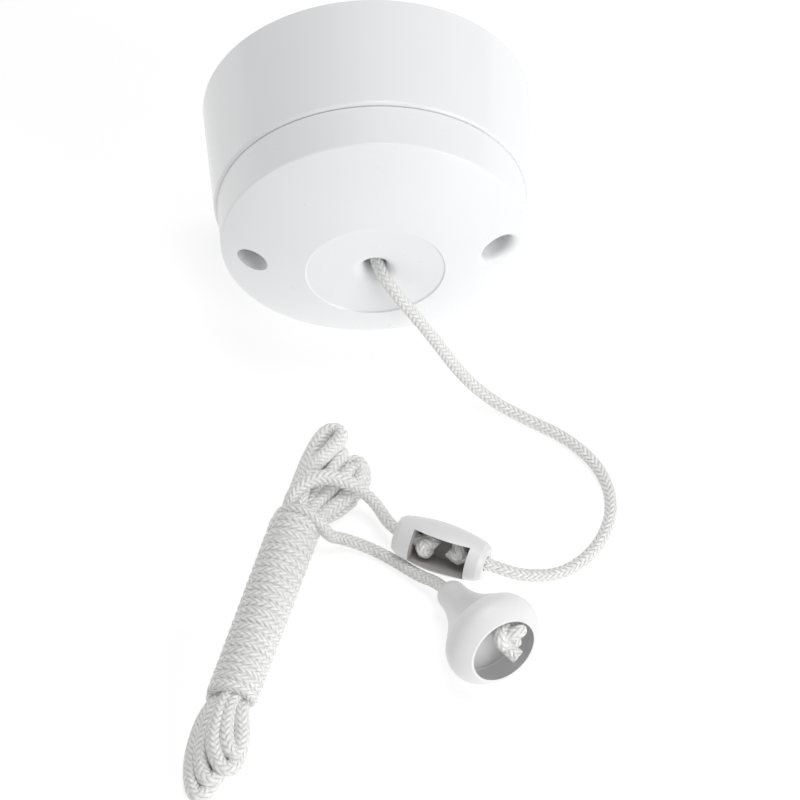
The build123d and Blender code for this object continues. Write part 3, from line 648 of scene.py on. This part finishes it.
def overhand(centre, axis, size, depth, tail, lead):
    """An overhand knot's line: lead in along the axis, three lobes round the centre, then the tail."""
    side = axis.orthogonal().normalized()
    other = axis.cross(side)
    places = [tuple(centre - axis * lead)]
    for index in range(KNOT_POINTS):
        turned = KNOT_START + KNOT_GAP + (360 - 2 * KNOT_GAP) * index / (KNOT_POINTS - 1)
        turn_by = math.radians(turned)
        x = math.sin(turn_by) + 2 * math.sin(2 * turn_by)
        y = math.cos(turn_by) - 2 * math.cos(2 * turn_by)
        z = -math.sin(3 * turn_by)
        places.append(tuple(centre + (side * x + other * y) * size + axis * (z * depth)))
    places.append(tuple(centre + Vector(tail)))
    return places


for name, along, tail in (("knot_lower", 8.1, 1.0), ("knot_upper", 16.6, -1.0)):
    spot = CONNECTOR_LEFT + connector_axis * along
    inward = connector_axis * tail
    places = overhand(spot, inward, size=0.85, depth=0.8, tail=inward * 2.6, lead=2.4)
    line = spline_line(places, 24)
    knot = braided_tube(name + "_braid", line, 1.5, CORD, "pull", step=0.16, sides=24, relief=0.2)
    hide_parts(name)

# The bell knot's tail points down, out of the bell's mouth
bell_tail = bell_axis * 3.2 + bell_side * 0.2 - bell_up * 4.4
bell_places = overhand(bell_knot, bell_axis, size=1.15, depth=1.3, tail=bell_tail, lead=3.0)
bell_line = spline_line(bell_places, 24)
bell_knot_piece = braided_tube("bell_knot_braid", bell_line, 1.75, CORD, "pull", step=0.2, sides=28)
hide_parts("bell_knot")

inner_spot = Vector((0.0, -25.3, 0.0))
inner_axis = Vector((0.0, 1.0, 0.0))
inner_places = overhand(inner_spot, inner_axis, size=0.5, depth=0.8, tail=inner_axis * 2.4, lead=2.4)
inner_knot_line = spline_line(inner_places, 16)
inner_knot = braided_tube(
    "inner_knot_braid", inner_knot_line, 1.1, CORD, "pull", step=0.3, sides=20, relief=0.12
)
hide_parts("inner_knot")


# ---------------------------------------------------------------- materials of the CAD pieces

COVER_WHITE = plastic("cover_plastic", rgb(0.895, 0.90, 0.91), rgb(0.885, 0.89, 0.90), 0.28, 0.00004)
BASE_WHITE = plastic("base_plastic", rgb(0.89, 0.895, 0.905), rgb(0.88, 0.885, 0.895), 0.2, 0.00004)
CONNECTOR_WHITE = plastic("connector_plastic", rgb(0.80, 0.80, 0.80), rgb(0.78, 0.78, 0.78), 0.36, 0.00001)
HOUSING = plastic("housing_plastic", rgb(0.78, 0.78, 0.75), rgb(0.73, 0.73, 0.70), 0.45, 0.00003)
NYLON = plastic("nylon", rgb(0.84, 0.82, 0.75), rgb(0.79, 0.77, 0.69), 0.42, 0.00003)
SCREW_WHITE = plastic("coated_screw", rgb(0.84, 0.84, 0.83), rgb(0.74, 0.74, 0.73), 0.3, 0.00003)
BRASS = metal("brass", rgb(0.82, 0.63, 0.30), rgb(0.66, 0.47, 0.20), 0.25, 0.08)
CONTACT = metal("contact_brass", rgb(0.80, 0.56, 0.30), rgb(0.62, 0.42, 0.22), 0.3, 0.08)
SILVER = metal("contact_silver", rgb(0.86, 0.86, 0.84), rgb(0.70, 0.69, 0.66), 0.3, 0.5)
STEEL = metal("zinc_steel", rgb(0.68, 0.68, 0.70), rgb(0.52, 0.52, 0.52), 0.32, 0.2)
SPRING = metal("spring_steel", rgb(0.55, 0.56, 0.58), rgb(0.42, 0.42, 0.43), 0.28, 0.1)


def bell_material():
    """The bell's plastic: its flared end painted darker than the rest as shade, and a painted highlight on
    the fine moulded crease between them, whose bump is real.
    """
    make = Shader("bell_painted_light")
    to_bell = nodes["bell_pull"].matrix_world.inverted()
    local_axis = (to_bell.to_3x3() @ bell_axis).normalized()
    local_neck = to_bell @ (bell_neck * MM)
    offset = make.node("ShaderNodeVectorMath", operation="SUBTRACT")
    make.put(offset.inputs[0], make.place())
    make.put(offset.inputs[1], tuple(local_neck))
    station = make.node("ShaderNodeVectorMath", operation="DOT_PRODUCT")
    make.put(station.inputs[0], offset.outputs[0])
    make.put(station.inputs[1], tuple(local_axis))
    from_ridge = make.maths("SUBTRACT", station.outputs["Value"], BELL_RIDGE * MM)
    on_cup = make.spread(from_ridge, -0.0002, 0.0001, 0.0, 1.0)
    ridge_bump_and_highlight = make.spread(make.maths("ABSOLUTE", from_ridge), 0.0001, 0.0003, 1.0, 0.0)
    cloud = make.noise(make.place(), 160.0, 4.0, 0.6)
    # Painted shade: the flared end a little darker than the lit cup.
    shaded_flare = make.mix(cloud, rgb(0.77, 0.77, 0.77), rgb(0.79, 0.79, 0.79))
    lit_cup = make.mix(cloud, rgb(0.83, 0.83, 0.83), rgb(0.85, 0.85, 0.85))
    painted_shade_colour = make.mix(on_cup, shaded_flare, lit_cup)
    # Painted highlight: a near-white line along the ridge, over its real bump.
    make.put(make.surface.inputs["Base Color"], make.mix(ridge_bump_and_highlight, painted_shade_colour, rgb(0.96, 0.96, 0.96)))
    make.put(make.surface.inputs["Roughness"], make.spread(cloud, 0.3, 0.7, 0.36, 0.42))
    make.put(make.surface.inputs["Normal"], make.bump(ridge_bump_and_highlight, 0.00008, 0.7))
    return make.material


BELL_WHITE = bell_material()

FINISHES = {
    "base_plastic": BASE_WHITE,
    "cover_plastic": COVER_WHITE,
    "cover_screw_steel": SCREW_WHITE,
    "housing_plastic": HOUSING,
    "nylon": NYLON,
    "connector_plastic": CONNECTOR_WHITE,
    "bell_plastic": BELL_WHITE,
    "brass": BRASS,
    "contact_brass": CONTACT,
    "contact_silver": SILVER,
    "steel": STEEL,
    "spring_steel": SPRING,
}
for subpart in frame["record"]["subparts"]:
    finish = FINISHES.get(subpart["material_slot"])
    if finish is not None:
        piece = nodes[subpart["node"]]
        piece.data.materials.clear()
        piece.data.materials.append(finish)

# Inside the connector's window the plastic has painted shade, a darker colour, and a duller finish
WINDOW_START = 4.9
WINDOW_END = 20.1
POCKET_PAINTED_SHADE = plastic("connector_pocket_painted_shade", rgb(0.50, 0.49, 0.48), rgb(0.46, 0.45, 0.44), 0.5, 0.00001)
connector_piece = nodes["connector"]
connector_piece.data.materials.append(POCKET_PAINTED_SHADE)
connector_place = connector_piece.matrix_world
for polygon in connector_piece.data.polygons:
    from_left = connector_place @ polygon.center / MM - CONNECTOR_LEFT
    reach = from_left.dot(connector_axis)
    outward = (from_left - connector_axis * reach).normalized()
    facing = (connector_place.to_3x3() @ polygon.normal).dot(outward)
    if WINDOW_START < reach < WINDOW_END and facing < 0.2:
        polygon.material_index = 1

# ---------------------------------------------------------------- floor and light

FLOOR_SIZE = 3.0
floor_mesh = bpy.data.meshes.new("floor")
half = FLOOR_SIZE / 2
floor_corners = [(-half, -half, 0), (half, -half, 0), (half, half, 0), (-half, half, 0)]
floor_mesh.from_pydata(floor_corners, [], [(0, 1, 2, 3)])
floor = bpy.data.objects.new("floor", floor_mesh)
floor.location = (0, 0, TABLE_Z * MM)
scene.collection.objects.link(floor)
floor_shader = Shader("pale_floor")
floor_shader.surface.inputs["Base Color"].default_value = rgb(0.5, 0.5, 0.5)
floor_shader.surface.inputs["Roughness"].default_value = 0.9
floor_shader.surface.inputs["Emission Color"].default_value = rgb(1, 1, 1)
floor_shader.surface.inputs["Emission Strength"].default_value = 0.62
floor_mesh.materials.append(floor_shader.material)

world = bpy.data.worlds.new("studio")
world.use_nodes = True
world.node_tree.nodes["Background"].inputs["Color"].default_value = rgb(1, 1, 1)
world.node_tree.nodes["Background"].inputs["Strength"].default_value = 0.45
scene.world = world
scene.view_settings.view_transform = "Standard"


def softbox(name, place, target, width, height, power):
    data = bpy.data.lights.new(name, "AREA")
    data.shape = "RECTANGLE"
    data.size = width
    data.size_y = height
    data.energy = power
    light = bpy.data.objects.new(name, data)
    light.location = place
    light.rotation_euler = (Vector(target) - Vector(place)).to_track_quat("-Z", "Y").to_euler()
    scene.collection.objects.link(light)


LIGHT_AIM = (0.0, -0.09, -0.02)
softbox("key_right", (1.0, -0.95, 0.42), LIGHT_AIM, width=0.7, height=0.6, power=7.7)
softbox("fill_top", (0.2, 0.1, 1.3), LIGHT_AIM, width=0.7, height=0.6, power=5.6)
